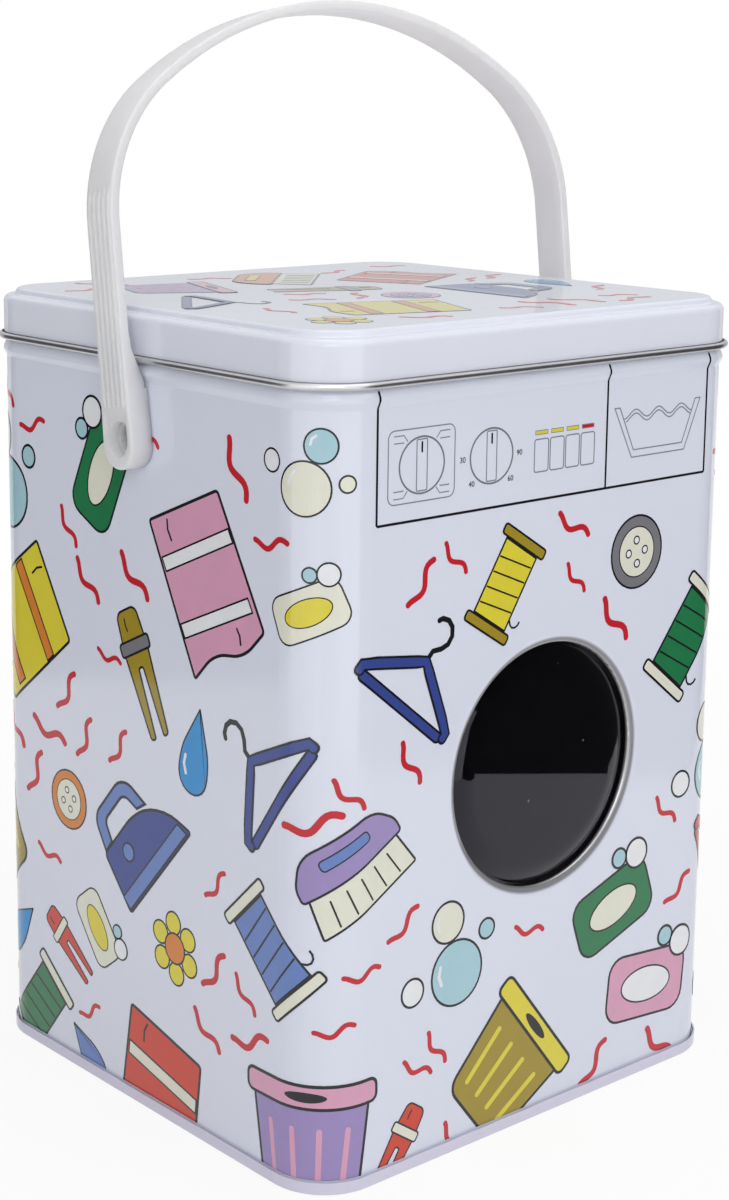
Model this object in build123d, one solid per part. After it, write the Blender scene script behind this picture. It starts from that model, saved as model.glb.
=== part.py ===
from build123d import *
import math
import os

# Laundry powder tin: a lidded tinplate box with a round window and a plastic bail handle.
# Millimetres. The origin is the centre of the footprint, +Z is up and -Y is the window side.

# Wrap
body_width = 141.0
body_depth = 135.0
corner_radius = 14.7
sheet = 0.3

# Bottom seam and bottom panel
seam_height = 3.1
seam_proud = 0.95
fold_gap = 0.05
hook_drop = 0.8
base_panel_height = 2.6
base_margin = 6.5
base_step = 0.8

# Stop bead, neck and rolled top edge
bead_top = 188.4
bead_proud = 0.8
bead_radius = 1.4
bead_flank = 24.0
rim_roll = 1.5
rim_gap = 0.8

# Lock seam of the wrap, at the back
lock_width = 5.0
lock_thickness = 0.6
lock_groove_width = 0.5
lock_groove_depth = 0.12
lock_end_gap = 3.0

# Lid
lid_fit = 0.3
lid_seat_gap = 0.3
curl_radius = 0.85
skirt_height = 10.4
lid_edge_radius = 1.8
ledge_width = 2.7
panel_rise = 1.6
panel_slope = 0.8
panel_edge_radius = 0.9
panel_margin = 4.0

# Window
window_x = 2.0
window_height = 91.2
window_radius = 33.0
dish_radius = 4.0
dish_angle = 34.0
hem_radius = 0.8
hem_lip = 1.0
pane_sheet = 0.5
pane_overlap = 2.3
pane_clearance = 0.35
pane_recess = 0.7
pane_slope = 3.6
pane_bend = 1.0
pane_edge_radius = 12.0

# Handle strap
pivot_drop = 13.5
handle_lean = 7.0
strap_gap = 1.9
strap_thickness = 2.5
strap_width = 10.4
strap_edge_radius = 0.5
arm_length = 50.8
shoulder_radius = 41.6
grip_height = 103.7

# Handle ends and pegs
end_width = 12.0
end_tail = 1.3
end_taper = 24.0
end_edge_radius = 0.8
wedge_height = 21.5
pad_gap = 0.45
bead_clearance = 0.35
pocket_radius = 4.3
pocket_depth = 3.4
scoop_height = 7.7
scoop_depth = 2.2
peg_radius = 4.0
peg_bore_radius = 3.3
peg_clearance = 0.2
peg_reach = 5.0
peg_lip = 0.7
peg_lip_length = 0.6
peg_tip_radius = 3.8
peg_slot = 1.4

# Ribs on the arms
rib_count = 5
rib_pitch = 1.9
rib_width = 1.1
rib_height = 0.4
rib_root = 0.2
rib_edge = 0.28
rib_start = 7.5
rib_turn = 8.0
rib_fade = 8.0

# Heights and offsets that follow from the sizes above
half_sheet = sheet / 2
half_width = body_width / 2
half_depth = body_depth / 2
curl_height = bead_top + lid_seat_gap + curl_radius
ledge_top = curl_height + skirt_height
neck_top = ledge_top - sheet - rim_gap
bead_flank_turn = math.radians(bead_flank)
bead_corner = bead_proud + bead_radius * (1 / math.cos(bead_flank_turn) - 1)
bead_half_height = bead_corner / math.tan(bead_flank_turn)
bead_bottom = bead_top - 2 * bead_half_height
pivot_height = bead_bottom - pivot_drop
curl_proud = lid_fit + 2 * curl_radius
strap_outer = half_width + curl_proud + strap_gap + strap_thickness
pad_face = half_width + pad_gap


def footprint(inset):
    """The box outline, drawn in by a distance."""
    return RectangleRounded(body_width - 2 * inset, body_depth - 2 * inset, corner_radius - inset)


def formed_ring(points, radii):
    """Sheet bent along a centre line (outward distance, height) and carried round the box outline."""
    path = footprint(0).face().outer_wire()
    tangent = path % 0
    outward = Vector(tangent.Y, -tangent.X, 0)
    plane = Plane(origin=path @ 0, x_dir=outward, z_dir=tangent * -1)
    section = trace(FilletPolyline(*points, radius=radii), line_width=sheet).face()
    return sweep(plane * section, path=path)


def flat_panel(inset, height):
    """The flat middle of a formed end, centred on a height."""
    return Pos(0, 0, height - half_sheet) * extrude(footprint(inset), amount=sheet)


def wrap_ring():
    """Wall of the box: seam hook, straight wall, stop bead, neck and inward roll."""
    wall = -half_sheet
    hook = seam_proud - sheet - fold_gap - half_sheet
    foot = sheet + fold_gap + half_sheet
    hook_radius = 0.49 * (hook - wall)
    roll = 0.49 * rim_roll
    top = neck_top - half_sheet
    points = [
        (hook, seam_height - hook_drop),
        (hook, foot),
        (wall, foot),
        (wall, bead_bottom),
        (wall + bead_corner, bead_top - bead_half_height),
        (wall, bead_top),
        (wall, top),
        (wall - rim_roll, top),
        (wall - rim_roll, top - rim_roll),
    ]
    radii = [hook_radius, hook_radius, bead_radius, bead_radius, bead_radius, roll, roll]
    return formed_ring(points, radii)


def window_lip():
    """Dished and hemmed edge of the window hole, turned about the window's axis."""
    dish_end = 270 - dish_angle
    dish_centre = Vector(window_radius, dish_radius)
    hem_centre = dish_centre + Vector(dish_radius - hem_radius, 0).rotate(Axis.Z, dish_end)
    hem_end = hem_centre + Vector(0, hem_radius - half_sheet)
    dish = CenterArc(dish_centre, dish_radius - half_sheet, 270, -dish_angle)
    hem = CenterArc(hem_centre, hem_radius - half_sheet, dish_end, 90 - dish_end)
    lip = Line(hem_end, hem_end + Vector(hem_lip, 0))
    section = trace(dish + hem + lip, line_width=sheet)
    turned = revolve(section, axis=Axis.Y)
    return turned, hem_centre.Y + hem_radius, hem_centre.X - hem_radius


def make_body_shell(lip, window_place):
    body = wrap_ring()
    body -= window_place * Rot(X=-90) * Cylinder(window_radius, 4 * sheet)
    body += window_place * lip
    hole = Rot(Y=90) * Cylinder(peg_radius + peg_clearance, body_width + 2 * sheet)
    body -= Pos(0, 0, pivot_height) * hole
    lock_bottom = seam_height + lock_end_gap
    lock_height = bead_bottom - lock_end_gap - lock_bottom
    lock_middle = lock_bottom + lock_height / 2
    fold_place = Pos(0, half_depth - sheet - lock_thickness / 2, lock_middle)
    body += fold_place * Box(lock_width, lock_thickness, lock_height)
    groove_place = Pos(0, half_depth, lock_middle)
    body -= groove_place * Box(lock_groove_width, 2 * lock_groove_depth, lock_height)
    return body


def make_base_plate():
    """Bottom end: seam band round the wrap's hook, recessed panel with one step."""
    band = seam_proud - half_sheet
    inner = -sheet - fold_gap - half_sheet
    panel = base_panel_height - base_step
    panel_edge = -base_margin - base_step
    panel_inset = base_margin + base_step + base_step
    points = [
        (band, seam_height),
        (band, half_sheet),
        (inner, half_sheet),
        (inner, base_panel_height),
        (-base_margin, base_panel_height),
        (panel_edge, panel),
        (-panel_inset, panel),
    ]
    bend = 0.3 * (band - inner)
    step_bend = base_step / 2
    ring = formed_ring(points, [bend, bend, bend, step_bend, step_bend])
    return ring + flat_panel(panel_inset, panel)


def make_lid():
    """Raised panel, ledge, skirt and an open outward curl along the skirt's edge."""
    skirt = lid_fit + half_sheet
    ledge = ledge_top - half_sheet
    panel = ledge + panel_rise
    roll = curl_radius - half_sheet
    roll_bend = 0.98 * roll
    step_foot = skirt - ledge_width
    panel_inset = ledge_width + panel_slope + panel_margin
    points = [
        (-panel_inset, panel),
        (step_foot - panel_slope, panel),
        (step_foot, ledge),
        (skirt, ledge),
        (skirt, curl_height - roll),
        (skirt + 2 * roll, curl_height - roll),
        (skirt + 2 * roll, curl_height + roll),
        (skirt + roll, curl_height + roll),
    ]
    edge_bend = lid_edge_radius - half_sheet
    step_bend = panel_edge_radius
    ring = formed_ring(points, [step_bend, step_bend, edge_bend, roll_bend, roll_bend, roll_bend])
    return ring + flat_panel(panel_inset, panel)


def arch_edges(inset):
    """Bail outline from the right pivot over the grip to the left pivot, drawn in by a distance."""
    span = strap_outer - shoulder_radius
    rise = grip_height - arm_length - shoulder_radius
    crown_drop = (span**2 - rise**2) / (2 * rise)
    crown_radius = rise + crown_drop + shoulder_radius
    crown_centre = (0, arm_length - crown_drop)
    turn = math.degrees(math.atan2(crown_drop, span))
    x = strap_outer - inset
    shoulder = shoulder_radius - inset
    return [
        Line((x, 0), (x, arm_length)),
        CenterArc((span, arm_length), shoulder, 0, turn),
        CenterArc(crown_centre, crown_radius - inset, turn, 180 - 2 * turn),
        CenterArc((-span, arm_length), shoulder, 180 - turn, turn),
        Line((-x, arm_length), (-x, 0)),
    ]


def make_strap():
    """Flat bail strap, with its long edges eased."""
    inner_x = strap_outer - strap_thickness
    ends = [
        Line((strap_outer, 0), (inner_x, 0)),
        Line((-strap_outer, 0), (-inner_x, 0)),
    ]
    outline = make_face(arch_edges(0) + arch_edges(strap_thickness) + ends)
    strap = extrude(Plane.XZ * outline, amount=strap_width / 2, both=True)
    long_edges = strap.faces().filter_by(Axis.Y).edges()
    curved_or_upright = [e for e in long_edges if e.bounding_box().size.Z > strap_thickness]
    return fillet(curved_or_upright, strap_edge_radius)


def make_end():
    """Right-hand end: wedge down to a round pad, and a split snap peg."""
    end_radius = end_width / 2
    relief_face = half_width + bead_proud + bead_clearance
    pad_top = math.sqrt((pivot_drop - bead_clearance) ** 2 - end_radius**2)
    taper = Polygon(
        (-end_radius, -end_tail),
        (end_radius, -end_tail),
        (strap_width / 2, end_taper),
        (-strap_width / 2, end_taper),
        align=None,
    )
    tongue = taper + Pos(0, -end_tail) * Circle(end_radius)
    blank = extrude(Plane.YZ * tongue, amount=strap_outer)
    wedge = Polygon(
        (strap_outer, -end_width),
        (strap_outer, end_taper),
        (strap_outer - strap_thickness, end_taper),
        (strap_outer - strap_thickness, wedge_height),
        (relief_face, pivot_drop),
        (relief_face, pad_top),
        (pad_face, pad_top),
        (pad_face, -end_width),
        align=None,
    )
    end = blank & extrude(Plane.XZ * wedge, amount=end_width, both=True)
    outer_arc = end.faces().sort_by(Axis.X)[-1].edges().filter_by(GeomType.CIRCLE)
    end = fillet(outer_arc, end_edge_radius)

    inside = half_width - sheet - pad_gap
    tip = half_width - sheet - peg_reach
    lip_radius = peg_radius + peg_lip
    peg_section = Polygon(
        (pad_face + sheet, 0),
        (pad_face + sheet, peg_radius),
        (inside, peg_radius),
        (inside, lip_radius),
        (inside - peg_lip_length, lip_radius),
        (tip, peg_tip_radius),
        (tip, 0),
        align=None,
    )
    peg = revolve(Plane.XZ * peg_section, axis=Axis.X)
    slot_length = inside - tip
    slot = Pos((inside + tip) / 2, 0, 0) * Box(slot_length, end_width, peg_slot)
    peg -= slot
    peg -= Rot(X=90) * slot

    return end + peg


def make_hollow():
    """Round pocket over the right peg, the scoop that leads down into it, and the peg's bore."""
    deep = Plane.YZ.offset(strap_outer - pocket_depth)
    pocket = extrude(deep * Circle(pocket_radius), amount=2 * pocket_depth)
    bore = extrude(Plane.YZ * Circle(peg_bore_radius), amount=strap_outer)
    outside = strap_outer + scoop_depth
    slope = Polygon(
        (strap_outer, scoop_height),
        (outside, scoop_height),
        (outside, 0),
        (strap_outer - scoop_depth, 0),
        align=None,
    )
    scoop = extrude(Plane.XZ * slope, amount=pocket_radius, both=True)
    return pocket + bore + scoop


def make_ribs():
    """Fine lengthwise ribs on the outer face of the right arm, fading out in the shoulder."""
    centre = (strap_outer - shoulder_radius, arm_length)
    crest = strap_outer + rib_height
    root = strap_outer - rib_root
    crest_arc = CenterArc(centre, shoulder_radius + rib_height, 0, rib_turn)
    root_arc = CenterArc(centre, shoulder_radius - rib_root, 0, rib_turn + rib_fade)
    outline = [
        Line((root, rib_start), (crest, rib_start)),
        Line((crest, rib_start), (crest, arm_length)),
        crest_arc,
        Line(crest_arc @ 1, root_arc @ 1),
        root_arc,
        Line((root, arm_length), (root, rib_start)),
    ]
    rib = extrude(Plane.XZ * make_face(outline), amount=rib_width / 2, both=True)
    crests = rib.faces().sort_by(Axis.X)[-1].edges()
    rib = chamfer(crests.filter_by(Axis.Z), rib_edge)
    first = -rib_pitch * (rib_count - 1) / 2
    return [Pos(0, first + rib_pitch * row, 0) * rib for row in range(rib_count)]


def make_handle():
    """The whole moulding, drawn upright about its pegs and leaned back on them."""
    end = make_end() + make_ribs()
    hollow = make_hollow()
    handle = make_strap() + end + mirror(end, about=Plane.YZ)
    handle -= hollow
    handle -= mirror(hollow, about=Plane.YZ)
    return Pos(0, 0, pivot_height) * Rot(X=-handle_lean) * handle


def make_window_pane(window_place, seat_depth, hole_radius):
    """Clear formed sheet: a flange glued to the back of the hem and a raised middle in the hole."""
    half_pane = pane_sheet / 2
    flange = seat_depth + half_pane
    middle = pane_recess + half_pane
    foot = hole_radius - pane_clearance - half_pane
    line = FilletPolyline(
        (hole_radius + hem_radius + hem_lip + pane_overlap, flange),
        (foot, flange),
        (foot - pane_slope, middle),
        (0, middle),
        radius=[pane_bend, pane_edge_radius],
    )
    section = trace(line, line_width=pane_sheet).face()
    return window_place * revolve(section, axis=Axis.Y)


window_place = Pos(window_x, -half_depth, window_height)
lip, seat_depth, hole_radius = window_lip()
nodes = {
    "body_shell": make_body_shell(lip, window_place),
    "base_plate": make_base_plate(),
    "lid": make_lid(),
    "window_pane": make_window_pane(window_place, seat_depth, hole_radius),
    "handle": make_handle(),
}

os.makedirs("parts", exist_ok=True)
for name, shape in nodes.items():
    export_step(shape, f"parts/{name}.step")
    print(name, len(shape.solids()), "solid", round(shape.volume), "mm3")
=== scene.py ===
# %% [markdown]
# # Laundry powder tin
# A tinplate box that is printed to look like a small washing machine. The walls, the lid, the pane
# and the handle come from the CAD model, which fixes every size. This lesson dresses that model:
# it gives each surface its finish, and lays the printed picture on the walls ink by ink.

import math
import random

import bmesh
import bpy
from mathutils import Matrix, Vector


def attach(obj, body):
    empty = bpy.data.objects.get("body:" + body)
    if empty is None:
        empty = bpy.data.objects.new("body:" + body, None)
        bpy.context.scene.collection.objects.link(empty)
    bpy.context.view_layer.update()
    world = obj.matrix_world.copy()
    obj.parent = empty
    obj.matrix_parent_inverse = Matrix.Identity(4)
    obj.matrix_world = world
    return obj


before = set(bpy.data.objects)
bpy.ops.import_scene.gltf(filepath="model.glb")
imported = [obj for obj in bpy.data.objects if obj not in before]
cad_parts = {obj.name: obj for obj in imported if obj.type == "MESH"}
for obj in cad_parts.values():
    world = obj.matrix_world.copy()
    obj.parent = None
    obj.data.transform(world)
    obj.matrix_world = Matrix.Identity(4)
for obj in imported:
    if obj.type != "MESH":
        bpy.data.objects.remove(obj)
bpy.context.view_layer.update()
print("solids:", ", ".join(sorted(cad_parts)))

# %% [markdown]
# ## Camera
# A product photograph keeps the uprights of a box nearly upright, so the lens sits a little above
# the lid and far enough away for gentle perspective. The angles below look down by eleven degrees
# on the corner between the window side and the handle side. A small lens shift frames the tin
# without tilting the camera further.

# %% Camera
CAMERA_PLACE = (-0.3752, -0.4220, 0.2570)
CAMERA_ANGLES = (79.043, -0.480, -40.643)

camera_data = bpy.data.cameras.new("product_camera")
camera_data.sensor_width = 36.0
camera_data.lens = 66.2
camera_data.shift_x = 0.033
camera_data.shift_y = -0.086
camera_data.clip_start = 0.01
camera = bpy.data.objects.new("product_camera", camera_data)
camera.location = CAMERA_PLACE
camera.rotation_euler = [math.radians(angle) for angle in CAMERA_ANGLES]
bpy.context.collection.objects.link(camera)
bpy.context.scene.camera = camera
bpy.context.scene.view_settings.view_transform = "Standard"
print("camera is", round(camera.location.length, 3), "m from the foot of the tin")

# %% [markdown]
# ## Floor, surroundings and lamps
# The tin stands on a white table in a white room. The room lights everything softly, and rays that
# reach it straight from the camera, or by way of gloss or glass, find plain white. The floor is a
# large grid with a matt finish; part of its brightness is fixed for those same rays, so its far end
# melts into the room while the tin still drops a soft shadow on it. Of three broad lamps, one hangs
# overhead, one faces the window side and one faces the near corner, so the lid is brightest and the
# rounded corner is lighter than the two walls that it joins.

# %% Node helpers
def new_finish(name):
    """A material with one surface shader, ready for its pattern nodes."""
    finish = bpy.data.materials.new(name)
    finish.use_nodes = True
    finish.node_tree.nodes.clear()
    output = finish.node_tree.nodes.new("ShaderNodeOutputMaterial")
    shader = finish.node_tree.nodes.new("ShaderNodeBsdfPrincipled")
    finish.node_tree.links.new(shader.outputs[0], output.inputs["Surface"])
    return finish, shader


def set_inputs(tree, node, inputs):
    """Gives each input a plain value or another node's output."""
    for name, value in inputs.items():
        if isinstance(value, bpy.types.NodeSocket):
            tree.links.new(value, node.inputs[name])
        else:
            node.inputs[name].default_value = value


def add_node(tree, kind, inputs=None, **settings):
    """A node with its settings and its inputs."""
    node = tree.nodes.new(kind)
    for name, value in settings.items():
        setattr(node, name, value)
    set_inputs(tree, node, inputs or {})
    return node


def maths(tree, operation, first, second=0.0):
    """One sum on two numbers or outputs."""
    return add_node(tree, "ShaderNodeMath", {0: first, 1: second}, operation=operation).outputs[0]


def seen_directly(tree):
    """One for rays from the camera and for rays that gloss or glass sent on, else zero."""
    seen = add_node(tree, "ShaderNodeLightPath").outputs
    sent_on = maths(tree, "MAXIMUM", seen["Is Glossy Ray"], seen["Is Transmission Ray"])
    return maths(tree, "MAXIMUM", seen["Is Camera Ray"], sent_on)


# %% Surroundings
ROOM_LIGHT = 0.435
WHITE = (1.0, 1.0, 1.0, 1.0)

room = bpy.data.worlds.new("white_room")
room.use_nodes = True
bpy.context.scene.world = room
room_tree = room.node_tree
room_tree.nodes.clear()
room_strength = add_node(
    room_tree,
    "ShaderNodeMapRange",
    {"Value": seen_directly(room_tree), "To Min": ROOM_LIGHT, "To Max": 1.0},
)
room_colour = add_node(
    room_tree,
    "ShaderNodeBackground",
    {"Color": WHITE, "Strength": room_strength.outputs[0]},
)
add_node(room_tree, "ShaderNodeOutputWorld", {"Surface": room_colour.outputs[0]})
print("room light on the tin:", ROOM_LIGHT)

# %% Table finish
SHADOW_START, SHADOW_REACH = 0.08, 0.55
NEAR_SHARE, FAR_SHARE = 0.88, 1.0

table_finish = bpy.data.materials.new("matt_white_table")
table_finish.use_nodes = True
table_tree = table_finish.node_tree
table_tree.nodes.clear()
table_matt = add_node(table_tree, "ShaderNodeBsdfDiffuse", {"Color": (0.9, 0.9, 0.9, 1.0)})
table_white = add_node(table_tree, "ShaderNodeEmission", {"Color": WHITE, "Strength": 1.0})
table_spot = add_node(table_tree, "ShaderNodeTexCoord")
table_reach = add_node(
    table_tree, "ShaderNodeVectorMath", {0: table_spot.outputs["Object"]}, operation="LENGTH"
)
table_fade = add_node(
    table_tree,
    "ShaderNodeMapRange",
    {
        "Value": table_reach.outputs["Value"],
        "From Min": SHADOW_START,
        "From Max": SHADOW_REACH,
        "To Min": NEAR_SHARE,
        "To Max": FAR_SHARE,
    },
)
table_share = maths(table_tree, "MULTIPLY", seen_directly(table_tree), table_fade.outputs[0])
table_mix = add_node(
    table_tree,
    "ShaderNodeMixShader",
    {0: table_share, 1: table_matt.outputs[0], 2: table_white.outputs[0]},
)
add_node(table_tree, "ShaderNodeOutputMaterial", {"Surface": table_mix.outputs[0]})
print("fixed white on the table:", NEAR_SHARE, "near the tin,", FAR_SHARE, "far away")

# %% Table
TABLE_REACH, TABLE_DROP = 6.0, 0.0002


def as_object(name, shape, finish):
    """Makes a finished shape an object at the origin, in its finish."""
    mesh = bpy.data.meshes.new(name)
    shape.to_mesh(mesh)
    shape.free()
    mesh.materials.append(finish)
    made = bpy.data.objects.new(name, mesh)
    bpy.context.collection.objects.link(made)
    return made


table_shape = bmesh.new()
bmesh.ops.create_grid(table_shape, x_segments=8, y_segments=8, size=TABLE_REACH)
bmesh.ops.translate(table_shape, verts=table_shape.verts, vec=(0, 0, -TABLE_DROP))
floor = as_object("table", table_shape, table_finish)
print("table edge:", round(floor.dimensions.x, 1), "m")

# %% Lamps
LAMP_AIM = Vector((0.0, 0.0, 0.1))


def soft_lamp(name, place, width, watts):
    """A broad square lamp that looks at the tin."""
    lamp_data = bpy.data.lights.new(name, "AREA")
    lamp_data.size = width
    lamp_data.energy = watts
    lamp = bpy.data.objects.new(name, lamp_data)
    lamp.location = place
    aim = LAMP_AIM - Vector(place)
    lamp.rotation_euler = aim.to_track_quat("-Z", "Y").to_euler()
    bpy.context.collection.objects.link(lamp)
    print(name, watts, "W")


soft_lamp("overhead_lamp", (0.10, -0.15, 1.30), 1.0, 4.6)
soft_lamp("window_side_lamp", (0.45, -1.30, 0.95), 0.8, 2.9)
soft_lamp("corner_lamp", (-0.95, -1.05, 0.80), 1.0, 7.4)

# %% [markdown]
# ## Cards beside the set
# Glossy lacquer, polished tin and a clear pane mostly show what stands around them, so a
# photographer puts cards where a reflection is wanted. A dark one stands in front of the window,
# at the right, so the pane mirrors white table in its lower half and the card above. Another
# darkens the lid's rolled edge from behind the handle side. Two glowing cards leave a faint upright
# gleam on the rounded corner, and a pale one behind the tin keeps the lid from glaring. All are
# seen only in reflections, so they cast no shade and never stand in a picture.

# %% Card finishes
BLACK = (0.0, 0.0, 0.0, 1.0)


def card_finish(name, colour, roughness, glow=WHITE, strength=0.0):
    """Felt, or a sheet that glows."""
    finish, shader = new_finish(name)
    inputs = {"Base Color": colour, "Roughness": roughness}
    inputs |= {"Emission Color": glow, "Emission Strength": strength}
    set_inputs(finish.node_tree, shader, inputs)
    return finish


dark_card = card_finish("black_felt_card", (0.09, 0.09, 0.10, 1.0), 1.0)
glowing_card = card_finish("glowing_card", BLACK, 0.5, WHITE, 1.4)
pale_card = card_finish("pale_grey_card", BLACK, 1.0, (0.95, 0.97, 1.0, 1.0), 0.7)
print("card finishes: 3")


# %% Cards
def stand_card(name, finish, foot, turn, width, height):
    """An upright grid that stands on the table and is seen only in reflections."""
    shape = bmesh.new()
    bmesh.ops.create_grid(shape, x_segments=4, y_segments=4, size=0.5)
    facing = Matrix.Rotation(math.radians(turn), 4, "Z")
    upright = Matrix.Rotation(math.radians(90), 4, "X")
    size = Matrix.Diagonal((width, height, 1.0, 1.0))
    place = Matrix.Translation((*foot, height / 2)) @ facing @ upright @ size
    bmesh.ops.transform(shape, matrix=place, verts=shape.verts)
    card = as_object(name, shape, finish)
    card.visible_camera = False
    card.visible_diffuse = False
    card.visible_shadow = False
    print(name, [round(n, 2) for n in card.dimensions])


stand_card("window_card", dark_card, (0.2012, -0.2550), 38.6, 0.62, 0.36)
stand_card("handle_side_card", dark_card, (-0.36, 0.27), 41.0, 0.60, 0.42)
stand_card("left_glow", glowing_card, (-0.368, -0.099), 96.0, 0.34, 0.60)
stand_card("front_glow", glowing_card, (-0.086, -0.387), -3.0, 0.23, 0.60)
stand_card("far_card", pale_card, (0.75, 0.85), -41.0, 2.4, 0.75)

# %% [markdown]
# ## White lacquer on tinplate
# The sheet is roller coated with white lacquer and varnished before it is folded, so the finish is
# glossy, with a very fine ripple from the roller and slow waves where the sheet was bent. Cut and
# rolled edges show bare tin, and so does the inside, and the hem round the window is bare tin too.
# On the dish round the window the coat is painted dull grey, as painted shade and painted dark
# reflection. One material can do all of that when masks say where each finish is. They measure
# how far a point lies from the wall's outer face or from the window's middle, so the finishes are
# told apart by position alone.

# %% Where the wall is
MM = 0.001
WALL_WIDTH, WALL_DEPTH, WALL_CORNER = 141.0, 135.0, 14.7
FLAT_X = WALL_WIDTH / 2 - WALL_CORNER
FLAT_Y = WALL_DEPTH / 2 - WALL_CORNER


def object_place(tree):
    """The point on the piece, in metres."""
    return add_node(tree, "ShaderNodeTexCoord").outputs["Object"]


def place_parts(tree, place):
    """X, Y and Z of the point."""
    return add_node(tree, "ShaderNodeSeparateXYZ", {0: place}).outputs


def diagonal(tree, first, second):
    """The long side of a right-angled triangle."""
    squares = [maths(tree, "MULTIPLY", side, side) for side in (first, second)]
    return maths(tree, "SQRT", maths(tree, "ADD", *squares))


def wall_distance(tree, parts):
    """How far outside the wall's rounded outline the point lies, in metres."""
    past_x = maths(tree, "SUBTRACT", maths(tree, "ABSOLUTE", parts[0]), FLAT_X * MM)
    past_y = maths(tree, "SUBTRACT", maths(tree, "ABSOLUTE", parts[1]), FLAT_Y * MM)
    corner_x = maths(tree, "MAXIMUM", past_x, 0.0)
    corner_y = maths(tree, "MAXIMUM", past_y, 0.0)
    corner = diagonal(tree, corner_x, corner_y)
    flat = maths(tree, "MINIMUM", maths(tree, "MAXIMUM", past_x, past_y), 0.0)
    return maths(tree, "SUBTRACT", maths(tree, "ADD", corner, flat), WALL_CORNER * MM)


def below(tree, value, limit, blur=0.05 * MM):
    """One where the value is under the limit, zero above it."""
    span = {"From Min": limit - blur, "From Max": limit + blur, "To Min": 1.0, "To Max": 0.0}
    return add_node(tree, "ShaderNodeMapRange", {"Value": value, **span}).outputs[0]


print("flat part of the window side:", round(2 * FLAT_X, 1), "mm wide")

# %% Colours and clouds
def shade(red, green, blue):
    """A colour given as it looks on a screen, 0 to 255, made linear."""
    linear = []
    for level in (red, green, blue):
        part = level / 255
        linear.append(part / 12.92 if part <= 0.04045 else ((part + 0.055) / 1.055) ** 2.4)
    return (*linear, 1.0)


def dimmed(colour, share):
    """The same colour with a share of its light."""
    return (*(level * share for level in colour[:3]), 1.0)


def blend_colours(tree, share, first, second):
    """From the first colour to the second."""
    mix = add_node(tree, "ShaderNodeMix", {0: share, 6: first, 7: second}, data_type="RGBA")
    return mix.outputs[2]


def noise(tree, place, scale, detail=2.0):
    """Cloudy pattern with so many waves to the metre."""
    inputs = {"Vector": place, "Scale": scale, "Detail": detail}
    return add_node(tree, "ShaderNodeTexNoise", inputs).outputs[0]


def uneven(tree, place, scale, low, high, detail=2.0):
    """A value that wanders between low and high with the cloudy pattern."""
    inputs = {"Value": noise(tree, place, scale, detail), "To Min": low, "To Max": high}
    return add_node(tree, "ShaderNodeMapRange", inputs).outputs[0]


print("mid grey of a screen is", round(shade(128, 128, 128)[0], 3), "in linear light")

# %% Lacquer, bare tin and rubbed tin in one finish
BARE_TIN, BARE_TIN_DULL = shade(204, 204, 207), shade(188, 188, 190)
# Dull grey painted on the window's dish stands in for its shade and dark reflections.
SHADE_PAINTED_TIN = shade(134, 134, 139)
COAT_CLOUDS, TIN_CLOUDS, COAT_DIM = 9.0, 140.0, 0.95
VARNISH_CLOUDS, VARNISH_LOW, VARNISH_HIGH = 60.0, 0.07, 0.12
TIN_ROUGHER = 0.2
BEND_WAVES, BEND_HEIGHT = 16.0, 0.45 * MM
ROLLER_WAVES, ROLLER_HEIGHT = 700.0, 0.004 * MM


def lacquered_sheet(name, colour, bare_mask, painted_shade_mask=None):
    """Glossy lacquer on tinplate, with bare tin or painted dull grey shade wherever a mask is one.
    """
    finish, shader = new_finish(name)
    tree = finish.node_tree
    place = object_place(tree)
    parts = place_parts(tree, place)
    bare = bare_mask(tree, parts)
    coat = blend_colours(tree, noise(tree, place, COAT_CLOUDS), colour, dimmed(colour, COAT_DIM))
    # Painted shade: the coat turns dull grey where this mask is one.
    if painted_shade_mask:
        coat = blend_colours(tree, painted_shade_mask(tree, parts), coat, SHADE_PAINTED_TIN)
    tin = blend_colours(tree, noise(tree, place, TIN_CLOUDS), BARE_TIN, BARE_TIN_DULL)
    gloss = uneven(tree, place, VARNISH_CLOUDS, VARNISH_LOW, VARNISH_HIGH)
    rougher = maths(tree, "MULTIPLY", bare, TIN_ROUGHER)
    bends = maths(tree, "MULTIPLY", noise(tree, place, BEND_WAVES, 1.0), BEND_HEIGHT)
    roller = maths(tree, "MULTIPLY", noise(tree, place, ROLLER_WAVES, 1.0), ROLLER_HEIGHT)
    height = maths(tree, "ADD", bends, roller)
    relief = add_node(
        tree, "ShaderNodeBump", {"Strength": 1.0, "Distance": 1.0, "Height": height}
    )
    set_inputs(
        tree,
        shader,
        {
            "Base Color": blend_colours(tree, bare, coat, tin),
            "Metallic": bare,
            "Roughness": maths(tree, "ADD", gloss, rougher),
            "Normal": relief.outputs[0],
        },
    )
    return finish


def wear(node_name, finish):
    """Gives a solid its finish."""
    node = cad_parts[node_name]
    node.data.materials.clear()
    node.data.materials.append(finish)
    print(node_name, "wears", finish.name)


# %% Masks of the body
WINDOW_X, WINDOW_Z, WINDOW_RADIUS = 2.0, 91.2, 33.0
# The second edge bounds the dull grey painted as shade on the window's dish.
DISH_EDGE, SHADE_PAINTED_EDGE, HEM_EDGE = WINDOW_RADIUS + 1.0, 31.95, 30.9
HEM_SHARE = 0.65
COAT_DEPTH = 0.15


def inside_window(tree, parts, radius, blur):
    """One on the window side, nearer to the window's middle than the radius."""
    across = maths(tree, "SUBTRACT", parts[0], WINDOW_X * MM)
    up = maths(tree, "SUBTRACT", parts[2], WINDOW_Z * MM)
    near = below(tree, diagonal(tree, across, up), radius * MM, blur * MM)
    return maths(tree, "MULTIPLY", below(tree, parts[1], 0.0), near)


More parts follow.
